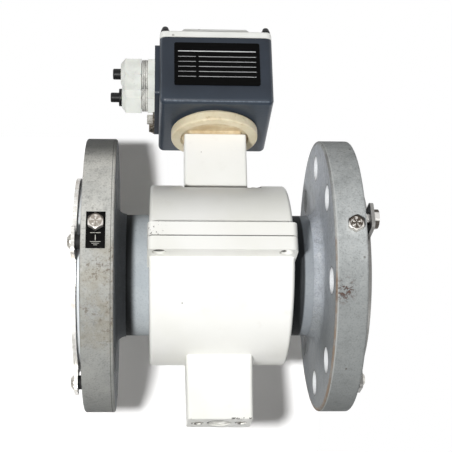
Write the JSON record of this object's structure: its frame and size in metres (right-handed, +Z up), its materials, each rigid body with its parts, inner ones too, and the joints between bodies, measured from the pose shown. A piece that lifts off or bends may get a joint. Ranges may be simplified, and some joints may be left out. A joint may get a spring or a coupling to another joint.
{
  "type": "electromagnetic flow meter",
  "caption": "Flanged electromagnetic flow meter with a split cast coil housing, a rectangular neck and a square terminal box with blanked cable glands.",
  "frame": {"origin": "on the pipe's axis, midway between the liner's two faces", "axes": "+X along the pipe from the inlet to the outlet, +Z up to the terminal box, -Y the side with the name plate"},
  "size_m": [0.2126, 0.2044, 0.3005],
  "materials": {
    "tube_steel": "bead blasted stainless steel",
    "liner_ptfe": "smooth white fluoroplastic",
    "flange_steel": "cast and machined steel, weathered",
    "ring_steel": "turned stainless steel",
    "screw_steel": "bright stainless steel",
    "dark_screw": "blackened steel",
    "black_rubber": "matt black rubber",
    "label_black": "satin black film",
    "coil_copper": "taped copper winding",
    "pole_iron": "dark soft iron",
    "shell_paint": "glossy off-white stove enamel with small chips",
    "plug_paint": "off-white enamel",
    "collar_plastic": "cream moulded plastic",
    "bushing_plastic": "natural plastic",
    "box_paint": "dark slate blue enamel",
    "lid_paint": "off-white enamel",
    "plate_dark": "dark enamel",
    "clamp_steel": "bent stainless strip",
    "gland_plastic": "light grey polyamide",
    "plug_black": "black plastic"
  },
  "bodies": {
    "root": {"box_earth_clamp": "clamp_steel", "box_earth_screw": "screw_steel", "box_lid": "lid_paint", "coil_cover": "shell_paint", "collar_screws": "screw_steel", "cover_plug": "plug_paint", "cover_screws": "screw_steel", "earth_label": "label_black", "electrode_bushings": "bushing_plastic", "electrode_nuts": "screw_steel", "electrodes": "screw_steel", "front_blank_plug": "plug_black", "front_gland_body": "gland_plastic", "front_gland_cap": "gland_plastic", "front_gland_locknut": "gland_plastic", "front_gland_seal": "black_rubber", "gland_plate": "plate_dark", "gland_plate_screws": "screw_steel", "inlet_earth_screw": "screw_steel", "inlet_earthing_ring": "ring_steel", "inlet_flange": "flange_steel", "insulating_collar": "collar_plastic", "lead_sleeve": "bushing_plastic", "lid_gasket": "black_rubber", "lid_screws": "dark_screw", "liner": "liner_ptfe", "lower_coil": "coil_copper", "lower_pole_shoe": "pole_iron", "lower_shell": "shell_paint", "measuring_tube": "tube_steel", "name_plate": "label_black", "neck_screws": "screw_steel", "neck_seal": "black_rubber", "neck_tube": "shell_paint", "outlet_earth_screw": "screw_steel", "outlet_earthing_ring": "ring_steel", "outlet_flange": "flange_steel", "rear_blank_plug": "plug_black", "rear_gland_body": "gland_plastic", "rear_gland_cap": "gland_plastic", "rear_gland_locknut": "gland_plastic", "rear_gland_seal": "black_rubber", "ring_earth_bolt": "screw_steel", "ring_screws": "dark_screw", "ring_spacers": "black_rubber", "shell_gasket": "black_rubber", "shell_screws": "screw_steel", "terminal_block": "bushing_plastic", "terminal_box": "box_paint", "terminal_screws": "screw_steel", "upper_coil": "coil_copper", "upper_pole_shoe": "pole_iron", "upper_shell": "shell_paint"}
  },
  "joints": []
}
